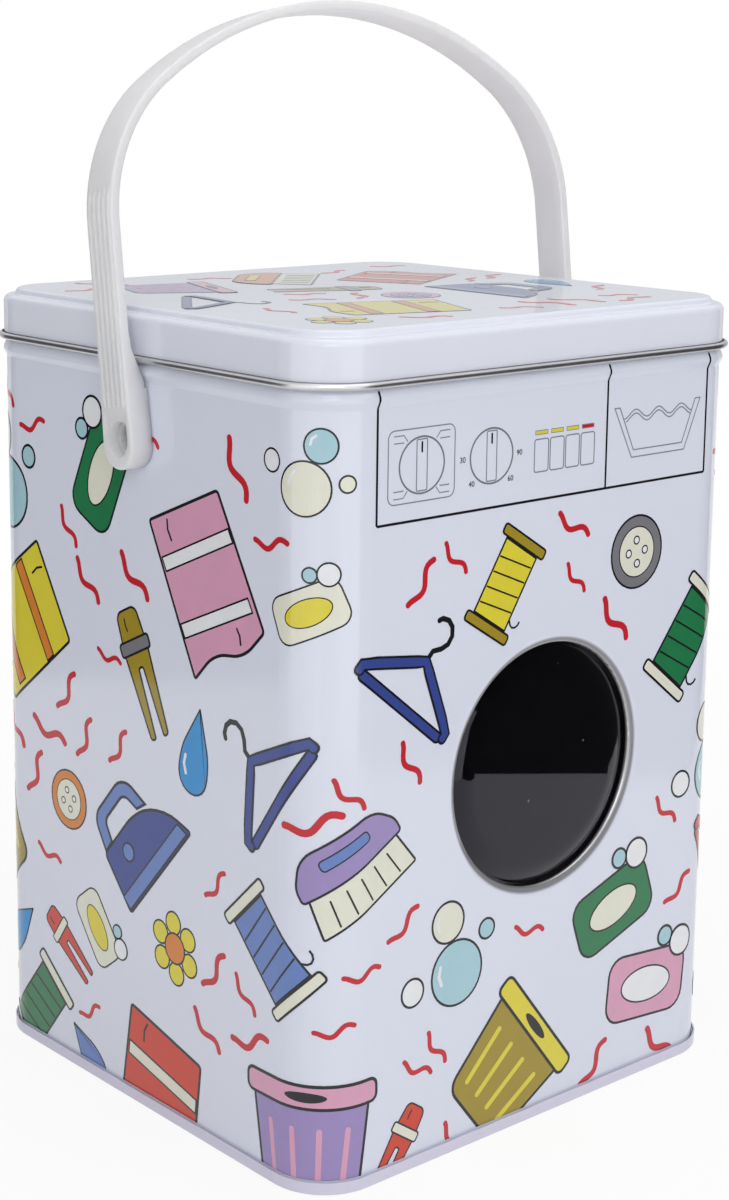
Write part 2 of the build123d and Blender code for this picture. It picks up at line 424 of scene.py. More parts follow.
def body_bare(tree, parts):
    """Inside of the wall, and the hem that the die has polished round the window."""
    inside = below(tree, wall_distance(tree, parts), -COAT_DEPTH * MM)
    dish = inside_window(tree, parts, DISH_EDGE, 0.05)
    hem = inside_window(tree, parts, HEM_EDGE, 0.2)
    bare = maths(tree, "MULTIPLY", inside, maths(tree, "SUBTRACT", 1.0, dish))
    return maths(tree, "MAXIMUM", bare, maths(tree, "MULTIPLY", hem, HEM_SHARE))


def body_painted_shade(tree, parts):
    """The dish round the window, where dull grey is painted on as shade and dark reflection."""
    return inside_window(tree, parts, SHADE_PAINTED_EDGE, 0.35)


# The ring printed here is the band of painted shade on the window's dish.
print("rubbed ring round the window:", round(SHADE_PAINTED_EDGE - HEM_EDGE, 2), "mm wide")

# %% Masks of the lid and the bottom
CURL_TOP, SKIRT_TOP, SKIRT_INSIDE = 190.45, 198.0, 0.45
FACING_DOWN = -0.4
SEAM_DEPTH = 0.3


def lid_bare(tree, parts):
    """Rolled edge of the skirt, and everything under the lid."""
    curl = below(tree, parts[2], CURL_TOP * MM)
    under_top = below(tree, parts[2], SKIRT_TOP * MM)
    inner = below(tree, wall_distance(tree, parts), SKIRT_INSIDE * MM)
    facing = add_node(tree, "ShaderNodeNewGeometry")
    upward = add_node(tree, "ShaderNodeSeparateXYZ", {0: facing.outputs["True Normal"]})
    underside = below(tree, upward.outputs[2], FACING_DOWN, 0.05)
    skirt_inside = maths(tree, "MULTIPLY", under_top, inner)
    return maths(tree, "MAXIMUM", curl, maths(tree, "MAXIMUM", skirt_inside, underside))


def base_bare(tree, parts):
    """The bottom panel inside the seam."""
    return below(tree, wall_distance(tree, parts), -SEAM_DEPTH * MM)


# %% Body, bottom seam and lid
# The fourth mask paints dull grey shade on the dish round the window.
white_lacquer = lacquered_sheet(
    "white_lacquer_on_tin", shade(223, 227, 241), body_bare, body_painted_shade
)
# The lid's white is painted a little lighter than the wall's white, as painted light that lifts the
# lid's shaded skirt.
lid_white_painted_lighter = lacquered_sheet("white_lacquer_on_lid", shade(229, 232, 244), lid_bare)
lilac_lacquer = lacquered_sheet("grey_lilac_lacquer", shade(216, 213, 232), base_bare)
wear("body_shell", white_lacquer)
wear("lid", lid_white_painted_lighter)
wear("base_plate", lilac_lacquer)

# %% [markdown]
# ## Clear pane
# The pane is a thin formed sheet of smoke tinted plastic. A sheet of glass-like material with a
# little tint lets the eye look into the dark tin and mirrors the room on its face. Fine dust on
# the polished face is a pattern of specks that are rough and let no light through.

# %% Pane
DUST_CELLS, DUST_SIZE, DUST_BLUR, DUST_FREE = 170.0, 0.05, 0.015, 0.4
PANE_CLOUDS, PANE_HAZE = 40.0, 0.03

pane_finish, pane_shader = new_finish("smoked_clear_sheet")
pane_tree = pane_finish.node_tree
pane_place = object_place(pane_tree)
pane_cells = add_node(
    pane_tree, "ShaderNodeTexVoronoi", {"Vector": pane_place, "Scale": DUST_CELLS}
)
pane_draw = add_node(pane_tree, "ShaderNodeSeparateColor", {0: pane_cells.outputs["Color"]})
pane_dusty = maths(pane_tree, "GREATER_THAN", pane_draw.outputs[0], DUST_FREE)
pane_dot = below(pane_tree, pane_cells.outputs["Distance"], DUST_SIZE, DUST_BLUR)
pane_speck = maths(pane_tree, "MULTIPLY", pane_dot, pane_dusty)
pane_haze = uneven(pane_tree, pane_place, PANE_CLOUDS, 0.0, PANE_HAZE, detail=4.0)
set_inputs(
    pane_tree,
    pane_shader,
    {
        "Base Color": shade(120, 122, 128),
        "IOR": 1.46,
        "Specular Tint": (0.84, 0.80, 0.97, 1.0),
        "Transmission Weight": maths(pane_tree, "SUBTRACT", 1.0, pane_speck),
        "Roughness": maths(pane_tree, "MAXIMUM", pane_haze, pane_speck),
    },
)
wear("window_pane", pane_finish)

# %% [markdown]
# ## Milky plastic
# The bail handle is moulded in one piece from natural polyethylene. The plastic is colourless but
# cloudy, so light enters, spreads a few millimetres and comes out again, which softens the ribs
# and the edges. Subsurface light gives just that, under a skin with a low satin gloss.

# %% Handle
MILKY_SHADES = shade(224, 224, 226), shade(216, 216, 219)
MILKY_CLOUDS, SATIN_CLOUDS, GRAIN_WAVES = 45.0, 220.0, 900.0
LIGHT_SPREAD = 10 * MM

milky_plastic, milky_shader = new_finish("milky_moulded_plastic")
milky_tree = milky_plastic.node_tree
milky_place = object_place(milky_tree)
milky_cloud = noise(milky_tree, milky_place, MILKY_CLOUDS)
milky_grain = noise(milky_tree, milky_place, GRAIN_WAVES)
milky_relief = add_node(
    milky_tree, "ShaderNodeBump", {"Strength": 0.1, "Distance": 0.1 * MM, "Height": milky_grain}
)
set_inputs(
    milky_tree,
    milky_shader,
    {
        "Base Color": blend_colours(milky_tree, milky_cloud, *MILKY_SHADES),
        "Specular IOR Level": 0.35,
        "Subsurface Weight": 1.0,
        "Subsurface Radius": (1.0, 0.95, 0.9),
        "Subsurface Scale": LIGHT_SPREAD,
        "Roughness": uneven(milky_tree, milky_place, SATIN_CLOUDS, 0.34, 0.44),
        "Normal": milky_relief.outputs[0],
    },
)
wear("handle", milky_plastic)

# %% [markdown]
# ## Printing inks
# A tin like this is printed flat, one ink after another, before the sheet is folded. Each ink here
# is a material of its own, and later each ink becomes a piece of its own, like the film that one
# printing plate leaves. The ink is a touch uneven, as real ink is, and carries the varnish's gloss.

# %% Inks
INK_SHADES = {
    "line_black": (26, 26, 32),
    "line_grey": (134, 139, 148),
    "mustard": (164, 142, 40),
    "yellow": (226, 212, 62),
    "red": (212, 64, 42),
    "signal_red": (200, 34, 48),
    "orange": (220, 132, 52),
    "sky_blue": (40, 146, 214),
    "mid_blue": (104, 132, 196),
    "navy": (58, 74, 148),
    "green": (34, 122, 74),
    "lilac": (158, 140, 194),
    "pink": (220, 162, 190),
    "pale_blue": (170, 208, 220),
    "grey": (124, 124, 130),
    "cream": (230, 230, 214),
    "paper_white": (236, 238, 242),
}
INK_CLOUDS, INK_DIM = 180.0, 0.9


def ink_finish(name, colour):
    """A thin film of ink under varnish."""
    finish, shader = new_finish("ink_" + name)
    tree = finish.node_tree
    place = object_place(tree)
    cloud = noise(tree, place, INK_CLOUDS, 3.0)
    inputs = {
        "Base Color": blend_colours(tree, cloud, colour, dimmed(colour, INK_DIM)),
        "Roughness": uneven(tree, place, VARNISH_CLOUDS, VARNISH_LOW, VARNISH_HIGH),
    }
    set_inputs(tree, shader, inputs)
    return finish


INK_NAMES = list(INK_SHADES)
INK_FINISHES = [ink_finish(name, shade(*INK_SHADES[name])) for name in INK_NAMES]
print("inks:", len(INK_NAMES))

# %% [markdown]
# ## Drawing on a flat sheet
# The picture is drawn flat, in millimetres along and up the wall, then bent round the tin. Every
# field of colour starts from a few corners or from a circle. Bevelling the corners rounds them,
# insetting the face leaves a rim for the dark outline, and the finished shape joins the sheet.
# A little height for each layer keeps the inks in the order in which they are printed.

# %% Layers and rims
FIRST_LAYER, LAYER_STEP = 0.05, 0.03


def layer_height(layer):
    """Top of a layer of ink above the wall, in millimetres."""
    return FIRST_LAYER + LAYER_STEP * layer


def join_sheet(sheet, shape, place, layer):
    """Puts a finished shape on the sheet."""
    bmesh.ops.transform(shape, matrix=place, verts=shape.verts)
    for vertex in shape.verts:
        vertex.co.z = layer_height(layer)
    film = bpy.data.meshes.new("film")
    shape.to_mesh(film)
    shape.free()
    sheet.from_mesh(film)
    bpy.data.meshes.remove(film)


def outline_and_fill(shape, ink, line, width):
    """Leaves a rim in the line ink and fills the middle, or takes the middle out."""
    shape.normal_update()
    faces = shape.faces[:]
    rim = []
    if width:
        inset = bmesh.ops.inset_region(
            shape, faces=faces, thickness=width, use_boundary=True, use_even_offset=True
        )
        rim = inset["faces"]
    rim_faces = set(rim)
    middle = [face for face in shape.faces if face not in rim_faces]
    for face in rim:
        face.material_index = INK_NAMES.index(line)
    if ink is None:
        bmesh.ops.delete(shape, geom=middle, context="FACES")
        return
    for face in middle:
        face.material_index = INK_NAMES.index(ink)


print("top of the fourth layer:", round(layer_height(3), 2), "mm")

# %% Fields and discs
OUTLINE = 0.5
CORNER_STEPS, DISC_STEPS = 5, 36


def round_corners(shape, corners, offset, segments):
    """Rounds single corners of a flat shape."""
    bmesh.ops.bevel(
        shape,
        geom=corners,
        offset=offset,
        offset_type="OFFSET",
        segments=segments,
        profile=0.5,
        affect="VERTICES",
        material=-1,
        clamp_overlap=True,
    )


def field(sheet, place, corners, ink, layer=0, line="line_black", width=OUTLINE):
    """A field of ink with corners (across, up, rounding)."""
    shape = bmesh.new()
    ring = [shape.verts.new((across, up, 0)) for across, up, rounding in corners]
    shape.faces.new(ring)
    roundings = [rounding for across, up, rounding in corners]
    for rounding in sorted(set(roundings) - {0}):
        picked = [vertex for vertex, own in zip(ring, roundings) if own == rounding]
        round_corners(shape, picked, rounding, CORNER_STEPS)
    outline_and_fill(shape, ink, line, width)
    join_sheet(sheet, shape, place, layer)


def box(left, right, top, foot, rounding=0):
    """Corners of an upright box, for a field."""
    corners = (left, top), (right, top), (right, foot), (left, foot)
    return [(across, up, rounding) for across, up in corners]


def disc(sheet, place, centre, radii, ink, layer=0, line="line_black", width=OUTLINE):
    """A round or oval field of ink."""
    shape = bmesh.new()
    oval = Matrix.Translation((*centre, 0)) @ Matrix.Diagonal((*radii, 1, 1))
    bmesh.ops.create_circle(shape, cap_ends=True, radius=1.0, segments=DISC_STEPS, matrix=oval)
    outline_and_fill(shape, ink, line, width)
    join_sheet(sheet, shape, place, layer)


# %% Pen lines
END_SHARE, END_STEPS = 0.48, 3


def stroke(sheet, place, points, width, ink, layer=0):
    """A pen line: an edge extruded from point to point, with round ends."""
    shape = bmesh.new()
    path = [Vector((*point, 0)) for point in points]
    edge = None
    for step, point in enumerate(path):
        along = path[min(step + 1, len(path) - 1)] - path[max(step - 1, 0)]
        across = Vector((-along.y, along.x, 0)).normalized() * width / 2
        if edge is None:
            left, right = shape.verts.new(point + across), shape.verts.new(point - across)
            start = [left, right]
            edge = shape.edges.new(start)
            continue
        grown = bmesh.ops.extrude_edge_only(shape, edges=[edge])["geom"]
        ends = [item for item in grown if isinstance(item, bmesh.types.BMVert)]
        from_left = {side.other_vert(left) for side in left.link_edges}
        left = next(end for end in ends if end in from_left)
        right = next(end for end in ends if end is not left)
        left.co, right.co = point + across, point - across
        edge = next(side for side in left.link_edges if side.other_vert(left) is right)
    round_corners(shape, start + [left, right], width * END_SHARE, END_STEPS)
    for face in shape.faces:
        face.material_index = INK_NAMES.index(ink)
    join_sheet(sheet, shape, place, layer)


# %% [markdown]
# ## Bending the sheet round the tin
# A point drawn so many millimetres along the wall goes round the rounded corners at the same
# distance along the metal, as the real sheet does when it is folded. Where the wall curves, the
# flat faces are first cut into narrow strips, or they would pass straight through the corner. The
# stop bead under the lid swells outwards, and the print that crosses it follows.

# %% Swell of the stop bead
BEAD_MIDDLE, BEAD_PROUD, BEAD_CREST, BEAD_FOOT = 186.306, 0.8, 1.55, 1.25
BEAD_FLANK = math.radians(24.0)


def bead_swell(up):
    """How far the bead stands out of the wall at a height: crest, straight flank, hollow foot."""
    away = abs(up - BEAD_MIDDLE)
    crest_end = BEAD_CREST * math.sin(BEAD_FLANK)
    flank_top = BEAD_PROUD - BEAD_CREST * (1 - math.cos(BEAD_FLANK))
    foot_top = BEAD_FOOT * (1 - math.cos(BEAD_FLANK))
    flank_end = crest_end + (flank_top - foot_top) / math.tan(BEAD_FLANK)
    foot_end = flank_end + BEAD_FOOT * math.sin(BEAD_FLANK)
    if away <= crest_end:
        return BEAD_PROUD - BEAD_CREST + math.sqrt(BEAD_CREST**2 - away**2)
    if away <= flank_end:
        return flank_top - (away - crest_end) * math.tan(BEAD_FLANK)
    if away <= foot_end:
        return BEAD_FOOT - math.sqrt(BEAD_FOOT**2 - (foot_end - away) ** 2)
    return 0.0


print("bead stands out by", round(bead_swell(BEAD_MIDDLE), 2), "mm")

# %% From the flat sheet to the wall and the lid
CORNER_RUN = WALL_CORNER * math.pi / 2
HALF_ROUND = FLAT_X + CORNER_RUN + 2 * FLAT_Y + CORNER_RUN + FLAT_X
LID_PANEL = 201.55


def on_wall(along, up, lift):
    """A point on the tin, from the millimetres along the wall, up it and off it."""
    if abs(along) > HALF_ROUND:
        along -= math.copysign(2 * HALF_ROUND, along)
    run, turn = abs(along), 0.0
    centre = Vector((min(run, FLAT_X), -FLAT_Y))
    if run > FLAT_X:
        turn = min((run - FLAT_X) / CORNER_RUN, 1.0) * math.pi / 2
        run_side = run - FLAT_X - CORNER_RUN
        if run_side > 0:
            centre.y = min(run_side - FLAT_Y, FLAT_Y)
            run_back = run_side - 2 * FLAT_Y
            if run_back > 0:
                turn += min(run_back / CORNER_RUN, 1.0) * math.pi / 2
                centre.x = FLAT_X - max(run_back - CORNER_RUN, 0.0)
    reach = WALL_CORNER + bead_swell(up) + lift
    x = centre.x + reach * math.sin(turn)
    y = centre.y - reach * math.cos(turn)
    return Vector((math.copysign(x, along), y, up)) * MM


def on_lid(across, back, lift):
    """A point on the lid's raised panel."""
    return Vector((across, back, LID_PANEL + lift)) * MM


CORNER_STRIPS = 24
CORNER_CUTS = [
    side * (start + CORNER_RUN * step / CORNER_STRIPS)
    for side in (-1, 1)
    for start in (FLAT_X, FLAT_X + CORNER_RUN + 2 * FLAT_Y)
    for step in range(CORNER_STRIPS + 1)
]
BEAD_STRIPS, BEAD_STRIP = 13, 0.24
BEAD_CUTS = [BEAD_MIDDLE + BEAD_STRIP * step for step in range(-BEAD_STRIPS, BEAD_STRIPS + 1)]
print("way round the tin:", round(2 * HALF_ROUND, 1), "mm")

# %% One piece for each ink
CUT_CLOSE = 0.0001
FILM_BACK = -0.04


def cut_sheet(plate, cuts, direction):
    """Cuts the faces along lines across or up the sheet."""
    spots = [vertex.co.dot(direction) for vertex in plate.verts]
    low, high = min(spots), max(spots)
    for spot in cuts:
        if low < spot < high:
            geometry = plate.verts[:] + plate.edges[:] + plate.faces[:]
            bmesh.ops.bisect_plane(
                plate, geom=geometry, dist=CUT_CLOSE, plane_co=direction * spot, plane_no=direction
            )


def print_sheet(sheet, name, onto, body, along_cuts=(), up_cuts=()):
    """Parts the sheet by ink, gives each film its thickness and bends it onto the tin."""
    made = 0
    for index, ink in enumerate(INK_NAMES):
        plate = sheet.copy()
        others = [face for face in plate.faces if face.material_index != index]
        bmesh.ops.delete(plate, geom=others, context="FACES")
        if not plate.faces:
            plate.free()
            continue
        cut_sheet(plate, along_cuts, Vector((1, 0, 0)))
        cut_sheet(plate, up_cuts, Vector((0, 1, 0)))
        backed = bmesh.ops.extrude_face_region(plate, geom=plate.faces[:], use_keep_orig=True)
        for item in backed["geom"]:
            if isinstance(item, bmesh.types.BMVert):
                item.co.z = FILM_BACK
        bmesh.ops.recalc_face_normals(plate, faces=plate.faces)
        for vertex in plate.verts:
            vertex.co = onto(*vertex.co)
        for face in plate.faces:
            face.material_index = 0
        piece = as_object(f"{name}_{ink}", plate, INK_FINISHES[index])
        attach(piece, body)
        made += len(piece.data.polygons)
    sheet.free()
    print(name, "faces:", made)


# %% [markdown]
# ## Laundry motifs
# Small things from a laundry are scattered over the walls and the lid: pegs, buttons, drops,
# towels, soap, brushes, hangers, baskets, thread, irons, daisies and foam. Each is a few outlined
# fields. They are drawn about their own middle, about 25 mm tall, so that one list of places can
# spread and turn them.

# %% Peg, button, drop and foam
def clothes_peg(sheet, place, main, second):
    legs = [(-3.8, 14, 2), (3.8, 14, 2), (4.6, 5, 1), (3.4, -14, 1), (1.3, -14, 0.7), (0.6, 1, 0.4)]
    legs += [(-0.6, 1, 0.4), (-1.3, -14, 0.7), (-3.4, -14, 1), (-4.6, 5, 1)]
    field(sheet, place, legs, main)
    field(sheet, place, box(-5.6, 5.6, 7.6, 4.2, 1), second, layer=1)
    stroke(sheet, place, [(-1.2, 12.2), (-1.4, 10.6), (-1.2, 9.2)], 0.4, "line_black", layer=1)


def coat_button(sheet, place, main, second):
    disc(sheet, place, (0, 0), (9, 9), main)
    disc(sheet, place, (0, 0), (6.2, 6.2), second, layer=1, width=0.3)
    for across, up in ((-2, -2), (2, -2), (2, 2), (-2, 2)):
        disc(sheet, place, (across, up), (1.1, 1.1), "paper_white", layer=2, width=0.35)


def water_drop(sheet, place, main, second):
    outline = [(0, 13, 0.8), (6.4, -1, 5), (4.8, -10, 4.4), (-4.8, -10, 4.4), (-6.4, -1, 5)]
    field(sheet, place, outline, main)
    stroke(sheet, place, [(-3.4, -0.5), (-3.7, -3.2), (-2.4, -5.8)], 0.9, second, layer=1)


def foam(sheet, place, main, second):
    disc(sheet, place, (-1, -2), (7.2, 7.2), main)
    disc(sheet, place, (7.5, 6), (4.6, 4.6), second)
    disc(sheet, place, (-8, 8), (3.2, 3.2), "paper_white")
    disc(sheet, place, (9.5, -5.5), (2.4, 2.4), main)
    stroke(sheet, place, [(-4.8, 0.6), (-3.2, 2.5), (-1, 3.2)], 0.8, "paper_white", layer=1)
    stroke(sheet, place, [(5, 7.2), (6.2, 8.6), (7.8, 8.9)], 0.7, "paper_white", layer=1)


# %% Towel, soap, brush and hanger
def towel(sheet, place, main, second):
    outline = [(-10, 13, 0.8), (9, 12, 0.8), (10.5, -11, 0.8)]
    outline += [(4, -13.2, 2.5), (-3, -11, 2.5), (-9.6, -13.4, 0.8)]
    field(sheet, place, outline, main)
    for top, bottom in ((6.2, 3.6), (-4.6, -7.2)):
        band = [(-9.3, top + 0.4, 0), (8.9, top - 0.3, 0)]
        band += [(9.1, bottom - 0.3, 0), (-9.2, bottom + 0.4, 0)]
        field(sheet, place, band, second, layer=1, width=0.3)
    stroke(sheet, place, [(-5.2, 11.6), (-5.8, 10.0), (-5.6, 8.0)], 0.4, "line_black", layer=1)
    stroke(sheet, place, [(4.2, -8.4), (4.4, -9.8), (4.0, -11.2)], 0.4, "line_black", layer=1)


def soap_bar(sheet, place, main, second):
    field(sheet, place, box(-11.5, 11.5, 7, -7, 4), main)
    disc(sheet, place, (0, 0), (7.4, 3.8), second, layer=1, width=0.35)
    disc(sheet, place, (9.5, 7.5), (3.4, 3.4), "paper_white", layer=2)
    disc(sheet, place, (4.6, 9.2), (2.3, 2.3), "pale_blue", layer=2)


def scrub_brush(sheet, place, main, second):
    bristles = [(-11.4, 0.5, 0), (11.4, 0.5, 0), (13, -9, 0.8), (-13, -9, 0.8)]
    field(sheet, place, bristles, "cream")
    for across in (-7.5, -3.7, 0, 3.7, 7.5):
        stroke(sheet, place, [(across, -2), (across * 1.12, -8)], 0.4, "line_black", layer=1)
    back = [(-13, 3, 1.5), (-9, 8.5, 3), (9, 8.5, 3), (13, 3, 1.5), (13, -0.6, 1), (-13, -0.6, 1)]
    field(sheet, place, back, main, layer=2)
    field(sheet, place, box(-6, 6, 6, 3.4, 1), second, layer=3, width=0.3)


def coat_hanger(sheet, place, main, second):
    hook = [(0, 3.6), (0.2, 6.2), (1.8, 7.6), (2.8, 9.2), (2.7, 11)]
    hook += [(1.6, 12.4), (0, 12.9), (-1.6, 12.4), (-2.5, 11.2)]
    stroke(sheet, place, hook, 1.1, second)
    stroke(sheet, place, [(-13.3, -6.2), (13.3, -6.2)], 2.5, "line_black")
    stroke(sheet, place, [(-12.8, -6.2), (12.8, -6.2)], 1.6, main, layer=1)
    slope = [(-13.6, -4.6), (-11, -2.8), (-2, 2.6), (0, 3.8), (2, 2.6), (11, -2.8), (13.6, -4.6)]
    stroke(sheet, place, [(-13.4, -6.9), *slope, (13.4, -6.9)], 2.6, "line_black", layer=2)
    stroke(sheet, place, [(-13.4, -6.4), *slope, (13.4, -6.4)], 1.7, main, layer=3)


# %% Basket, spool, iron, daisy and ripple
def wash_basket(sheet, place, main, second):
    field(sheet, place, [(-10.5, 6, 0.8), (10.5, 6, 0.8), (8, -11, 2.4), (-8, -11, 2.4)], main)
    for across in (-6, -2, 2, 6):
        stroke(sheet, place, [(across * 1.1, 2.6), (across * 0.9, -8)], 0.9, second, layer=1)
    field(sheet, place, box(-12, 12, 9.5, 5.4, 1.4), second, layer=2)
    disc(sheet, place, (0, 7.45), (3.4, 0.8), "line_black", layer=3, width=0)


def thread_spool(sheet, place, main, second):
    field(sheet, place, box(-6, 6, 9.5, -9.5), main)
    for up in (-6.6, -2.8, 1, 4.8):
        stroke(sheet, place, [(-5.4, up), (5.4, up + 1.8)], 0.4, "line_black", layer=1)
    for up in (9.4, -12.4):
        field(sheet, place, box(-8, 8, up + 3, up, 1), second, layer=2)
    loose_end = [(5.8, -6.4), (6.7, -7.3), (7.6, -7.6), (8.5, -7.2), (9.0, -6.4), (9.1, -5.4)]
    stroke(sheet, place, loose_end, 0.45, "line_black", layer=1)


def flat_iron(sheet, place, main, second):
    body = [(-12.5, -8, 1), (14, -8, 1.2), (10, 0.5, 5), (2, 4, 3), (-11, 4, 1.2)]
    field(sheet, place, body, main)
    grip = [(-10.5, 3.6, 0), (-8.5, 10.5, 2.4), (4.5, 10.5, 3.4), (6.6, 2.6, 0)]
    grip += [(3.4, 3.6, 0), (2, 7.6, 1.4), (-6, 7.6, 1), (-7.2, 3.8, 0)]
    field(sheet, place, grip, second, layer=1)
    disc(sheet, place, (-4.5, 0), (1.8, 1.8), second, layer=1, width=0.35)
    sole = [(-12, -4.4, 0), (11.6, -4.4, 0), (12.6, -7.4, 0), (-12, -7.4, 0)]
    field(sheet, place, sole, second, layer=1, width=0.3)


def daisy(sheet, place, main, second):
    for petal in range(6):
        angle = math.radians(60 * petal + 90)
        centre = 6.8 * math.cos(angle), 6.8 * math.sin(angle)
        disc(sheet, place, centre, (3.35, 3.35), main)
    disc(sheet, place, (0, 0), (4.4, 4.4), second, layer=1)


def ripple(sheet, place, ink):
    """A short wave of water."""
    steps = [step / 16 for step in range(17)]
    wave = [(13 * step - 6.5, 1.15 * math.sin(1.4 + 8.2 * step)) for step in steps]
    stroke(sheet, place, wave, 1.45, ink)


# %% [markdown]
# ## Scattering the motifs
# A loose pattern looks natural when no two motifs touch and no row can be seen. One way to get it
# is to throw darts: a seeded generator offers a place, a lean and a size, and the motif stays there
# only if it keeps clear of everything before it. Large motifs are thrown first, then smaller ones,
# then red ripples into the gaps. Each motif is guarded by a few circles along its length, so long
# ones pack well.

# %% Motifs, their inks and the circles that guard them
LARGE = [
    (towel, ("yellow", "orange")),
    (wash_basket, ("lilac", "pink")),
    (flat_iron, ("navy", "mid_blue")),
    (towel, ("red", "cream")),
    (scrub_brush, ("orange", "yellow")),
    (wash_basket, ("mustard", "yellow")),
    (flat_iron, ("red", "orange")),
    (towel, ("pink", "paper_white")),
]
MIDDLE = [
    (clothes_peg, ("mustard", "grey")),
    (coat_hanger, ("navy", "line_black")),
    (thread_spool, ("green", "cream")),
    (foam, ("pale_blue", "cream")),
    (clothes_peg, ("sky_blue", "cream")),
    (soap_bar, ("pink", "paper_white")),
    (thread_spool, ("mid_blue", "cream")),
    (scrub_brush, ("lilac", "mid_blue")),
    (coat_hanger, ("red", "line_black")),
    (soap_bar, ("green", "cream")),
]
SMALL = [
    (water_drop, ("sky_blue", "paper_white")),
    (coat_button, ("pink", "lilac")),
    (daisy, ("yellow", "orange")),
    (soap_bar, ("cream", "yellow")),
    (coat_button, ("orange", "cream")),
    (water_drop, ("mid_blue", "paper_white")),
    (clothes_peg, ("red", "cream")),
    (foam, ("cream", "pale_blue")),
    (coat_button, ("grey", "cream")),
    (thread_spool, ("yellow", "mustard")),
]
GUARDS = {
    towel: [(0, 6, 11), (0, -6, 11.5)],
    wash_basket: [(-6, 4, 8), (6, 4, 8), (0, -4, 9)],
    flat_iron: [(-5, 1, 10), (6, -2, 9)],
    scrub_brush: [(-7, -1, 9), (7, -1, 9)],
    clothes_peg: [(0, 9, 6.5), (0, 0, 5.5), (0, -9, 5.5)],
    coat_hanger: [(-8, -4, 5.5), (8, -4, 5.5), (0, 0, 6), (0, 9, 4.5)],
    thread_spool: [(0, 6, 9.5), (0, -6, 9.5)],
    foam: [(-1, -2, 8), (7.5, 6, 5.5), (-8, 8, 4), (9.5, -5.5, 3.2)],
    soap_bar: [(-5, 0, 8), (6, 1, 8.5), (7, 8, 5)],
    water_drop: [(0, -5, 7), (0, 5, 5)],
    coat_button: [(0, 0, 9.8)],
    daisy: [(0, 0, 11)],
}
RIPPLE_DECK = [(ripple, ("signal_red",), [(-5, 0, 2.0), (0, 0, 2.0), (5, 0, 2.0)])]
print("motifs:", len(LARGE) + len(MIDDLE) + len(SMALL))


# %% Dart throwing
DARTS_EACH = 60
RIPPLE_GAP = 1.0
chance = random.Random(7)


def scatter_place(across, up, turn, size):
    """Where a motif goes, which way it leans and how large it is."""
    lean = Matrix.Rotation(math.radians(turn), 4, "Z") @ Matrix.Scale(size, 4)
    return Matrix.Translation((across, up, 0)) @ lean


def guard_circles(guards, place, size):
    """The circles of a motif, moved to where the dart landed."""
    middles = [place @ Vector((across, up, 0)) for across, up, radius in guards]
    return [(*middle.xy, guard[2] * size) for middle, guard in zip(middles, guards)]


def keeps_clear(circles, taken, gap, way_round):
    """False where a circle comes nearer than the gap to one that is taken."""
    for across, up, radius in circles:
        for other_across, other_up, other_radius in taken:
            apart = abs(across - other_across)
            if way_round:
                apart = min(apart, way_round - apart)
            if math.hypot(apart, up - other_up) < radius + other_radius + gap:
                return False
    return True


def throw(deck, wanted, sizes, offer, is_free, taken, gap, way_round):
    """Throws darts until so many motifs have landed, and returns them with their places."""
    landed = []
    for dart in range(wanted * DARTS_EACH):
        if len(landed) == wanted:
            break
        motif, inks, guards = deck[len(landed) % len(deck)]
        size = chance.uniform(*sizes)
        place = scatter_place(*offer(), size)
        circles = guard_circles(guards, place, size)
        if is_free(circles) and keeps_clear(circles, taken, gap, way_round):
            taken.extend(circles)
            landed.append((motif, place, inks))
    return landed


def scatter(rounds, ripples, offer, is_free, gap, way_round=0.0):
    """Throws each round of motifs, then the ripples, and draws what landed on a new sheet."""
    taken, landed = [], []
    for motifs, wanted, sizes in rounds:
        deck = [(motif, inks, GUARDS[motif]) for motif, inks in motifs]
        landed += throw(deck, wanted, sizes, offer, is_free, taken, gap, way_round)
    landed += throw(RIPPLE_DECK, *ripples, offer, is_free, taken, RIPPLE_GAP, way_round)
    sheet = bmesh.new()
    for motif, place, inks in landed:
        motif(sheet, place, *inks)
    print("motifs and ripples:", len(landed))
    return sheet


# %% Motifs on the wall
SEAM_EDGE, PRINT_TOP = 3.3, 181.5
KEEP_LEFT, KEEP_RIGHT, KEEP_FOOT = -57.0, 59.0, 155.5
WINDOW_MARGIN = 2.0
WALL_GAP, WALL_LEAN = 2.2, 65
LOWEST_MIDDLE, HIGHEST_MIDDLE = 2.0, 176.0
WALL_ROUNDS = (LARGE, 18, (1.4, 1.7)), (MIDDLE, 24, (1.15, 1.35)), (SMALL, 30, (0.8, 1.05))
WALL_RIPPLES = 90, (0.8, 1.25)


def wall_offer():
    """A place anywhere round the wall, and a lean."""
    along = chance.uniform(-HALF_ROUND, HALF_ROUND)
    up = chance.uniform(LOWEST_MIDDLE, HIGHEST_MIDDLE)
    return along, up, chance.uniform(-WALL_LEAN, WALL_LEAN)


def wall_is_free(circles):
    """True off the window, off the control panel and below the stop bead."""
    for across, up, radius in circles:
        from_window = math.hypot(across - WINDOW_X, up - WINDOW_Z) - radius
        beside_panel = across <= KEEP_LEFT - radius or across >= KEEP_RIGHT + radius
        near_panel = up + radius > KEEP_FOOT and not beside_panel
        if from_window < WINDOW_RADIUS + WINDOW_MARGIN or near_panel or up + radius > PRINT_TOP:
            return False
    return True


wall_sheet = scatter(
    WALL_ROUNDS, WALL_RIPPLES, wall_offer, wall_is_free, WALL_GAP, 2 * HALF_ROUND
)
bmesh.ops.bisect_plane(
    wall_sheet,
    geom=wall_sheet.verts[:] + wall_sheet.edges[:] + wall_sheet.faces[:],
    dist=CUT_CLOSE,
    plane_co=(0, SEAM_EDGE, 0),
    plane_no=(0, -1, 0),
    clear_outer=True,
)
print_sheet(wall_sheet, "wall_print", on_wall, "tin", along_cuts=CORNER_CUTS)

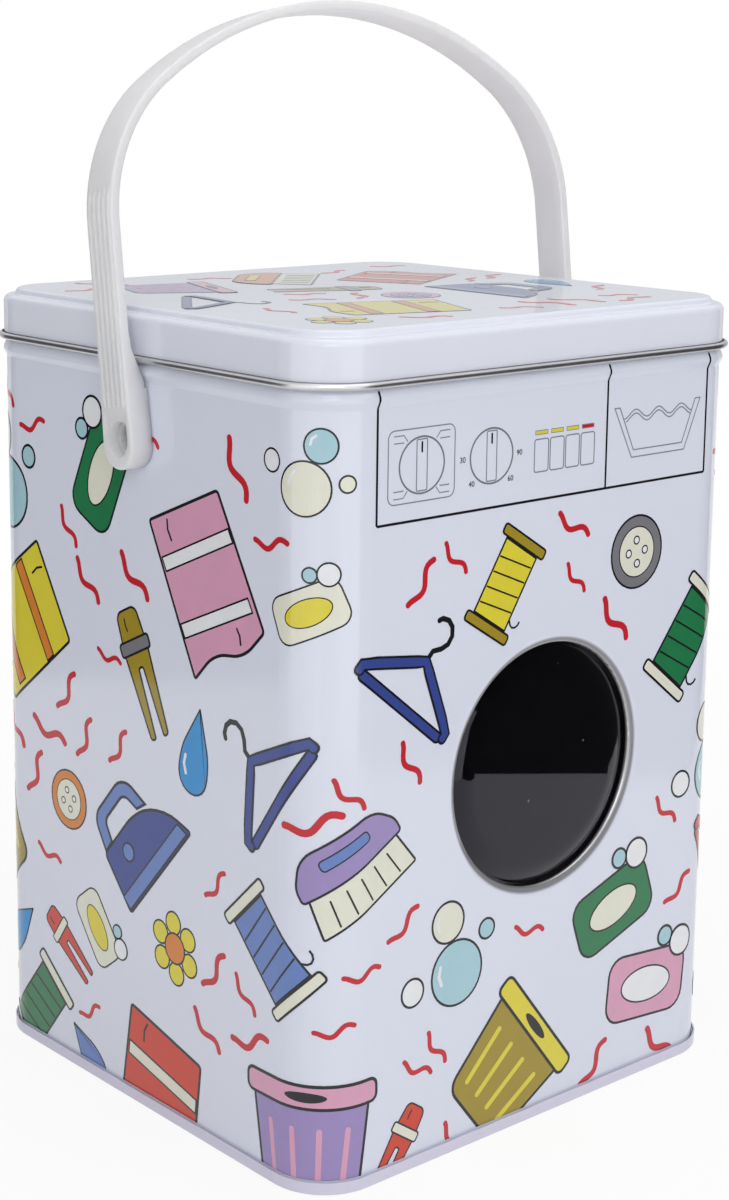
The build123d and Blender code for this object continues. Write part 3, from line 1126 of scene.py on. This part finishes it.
# %% Motifs on the lid
LID_REACH_X, LID_REACH_Y = 63.0, 60.0
LID_GAP = 2.0
LID_ROUNDS = (LARGE, 5, (1.25, 1.5)), (MIDDLE, 6, (1.0, 1.2)), (SMALL, 8, (0.75, 0.95))
LID_RIPPLES = 18, (0.8, 1.2)


def lid_offer():
    """A place on the raised panel, and any turn."""
    return chance.uniform(-58, 58), chance.uniform(-55, 55), chance.uniform(0, 360)


def lid_is_free(circles):
    """True on the flat of the raised panel."""
    return all(
        abs(across) + radius < LID_REACH_X and abs(back) + radius < LID_REACH_Y
        for across, back, radius in circles
    )


lid_sheet = scatter(LID_ROUNDS, LID_RIPPLES, lid_offer, lid_is_free, LID_GAP)
print_sheet(lid_sheet, "lid_print", on_lid, "lid")

# %% [markdown]
# ## Control panel
# Above the window the sheet is printed with the panel of a washing machine: two dials, four
# buttons with their lights, and the sign for a wash tub. It is line work, so most fields have an
# outline and no fill. The frame runs up over the stop bead to the edge of the lid.

# %% Panel frame and wash tub
PANEL_LEFT, PANEL_SPLIT, PANEL_RIGHT = -54.8, 19.8, 56.6
PANEL_FOOT, PANEL_TOP = 157.8, 188.2
FRAME_LINE, THIN_LINE = 0.6, 0.3
WAVE_STEPS = 36

panel_sheet = bmesh.new()
flat = Matrix.Identity(4)
for across in (PANEL_LEFT, PANEL_SPLIT, PANEL_RIGHT):
    upright = [(across, PANEL_FOOT), (across, PANEL_TOP)]
    stroke(panel_sheet, flat, upright, FRAME_LINE, "line_black")
foot_line = [(PANEL_LEFT, PANEL_FOOT), (PANEL_RIGHT, PANEL_FOOT)]
stroke(panel_sheet, flat, foot_line, FRAME_LINE, "line_black")

tub_outer = [(22.2, 177.2), (28.9, 164.3), (48.6, 164.3), (54.3, 177.2)]
tub_inner = [(52.1, 177.2), (47.5, 166.4), (29.7, 166.4), (24.4, 177.2)]
tub = [(across, up, 0) for across, up in tub_outer + tub_inner]
field(panel_sheet, flat, tub, None, line="line_grey", width=THIN_LINE)
water = [
    (25.9 + 25.2 * step / WAVE_STEPS, 175.2 - 1.05 * math.cos(math.pi * step / 6))
    for step in range(WAVE_STEPS + 1)
]
lower_water = [(across, up - 0.95) for across, up in water[1:-1]]
for wave in (water, lower_water):
    stroke(panel_sheet, flat, wave, THIN_LINE, "line_grey")
print("panel:", round(PANEL_RIGHT - PANEL_LEFT, 1), "mm wide")

# %% Dials
PLATE_ACROSS, PLATE_UP = -41.3, 170.4
FINE_LINE = 0.28


def dial(sheet, across, up):
    """Round knob with a finger bar and a pointer line."""
    disc(sheet, flat, (across, up), (7.1, 6.7), None, line="grey", width=0.42)
    bar = box(across - 1.75, across + 1.75, up + 6.0, up - 6.0, 0.5)
    field(sheet, flat, bar, None, line="line_grey", width=FINE_LINE)
    stroke(sheet, flat, [(across, up + 5.4), (across, up + 2.8)], 0.5, "line_black")


plate = box(-51.7, -31.0, 178.9, 161.9, 2)
field(panel_sheet, flat, plate, None, line="line_grey", width=FINE_LINE)
for side in (-1, 1):
    for top in (-1, 1):
        for inward in (0.0, 1.5):
            level = PLATE_UP + top * (7.1 - inward * 1.1)
            mark = [(PLATE_ACROSS + side * reach, level) for reach in (8.6, 5.6)]
            last_reach, last_rise = 4.4 + inward * 0.9, 5.6 - inward * 0.3
            mark.append((PLATE_ACROSS + side * last_reach, PLATE_UP + top * last_rise))
            stroke(panel_sheet, flat, mark, 0.26, "line_grey")
dial(panel_sheet, PLATE_ACROSS, 170.3)
dial(panel_sheet, -19.3, 170.0)
print("faces of the panel so far:", len(panel_sheet.faces))

# %% Dial numbers
def plain_number(sheet, digits, across, up, size):
    """Digits set as text, made a mesh and laid on the sheet."""
    text = bpy.data.curves.new("digits", "FONT")
    text.body = digits
    text.size = size
    text.align_x = "CENTER"
    text.align_y = "CENTER"
    text_object = bpy.data.objects.new("digits", text)
    bpy.context.collection.objects.link(text_object)
    bpy.context.view_layer.update()
    letters = bpy.data.meshes.new_from_object(text_object)
    shape = bmesh.new()
    shape.from_mesh(letters)
    bpy.data.objects.remove(text_object)
    bpy.data.curves.remove(text)
    bpy.data.meshes.remove(letters)
    bmesh.ops.remove_doubles(shape, verts=shape.verts, dist=0.001)
    for face in shape.faces:
        face.material_index = INK_NAMES.index("line_black")
    join_sheet(sheet, shape, Matrix.Translation((across, up, 0)), 0)


NUMBER_SIZE = 1.9
WASH_NUMBERS = [("30", -28.6, 169.9), ("40", -25.6, 164.0)]
WASH_NUMBERS += [("60", -13.0, 164.0), ("90", -10.2, 169.8)]

for digits, across, up in WASH_NUMBERS:
    plain_number(panel_sheet, digits, across, up, NUMBER_SIZE)
print("numbers:", len(WASH_NUMBERS))

# %% Buttons and lights
BUTTON_START, BUTTON_STEP, BUTTON_WIDTH = -5.3, 5.3, 5.0

for number, light in enumerate(("yellow", "yellow", "yellow", "signal_red")):
    left = BUTTON_START + BUTTON_STEP * number
    button = box(left, left + BUTTON_WIDTH, 172.4, 164.3, 0.8)
    field(panel_sheet, flat, button, None, line="line_grey", width=THIN_LINE)
    lamp = box(left + 0.3, left + 4.6, 174.4, 173.3)
    field(panel_sheet, flat, lamp, light, line="line_grey", width=0.18)
print_sheet(panel_sheet, "panel_print", on_wall, "tin", up_cuts=BEAD_CUTS)
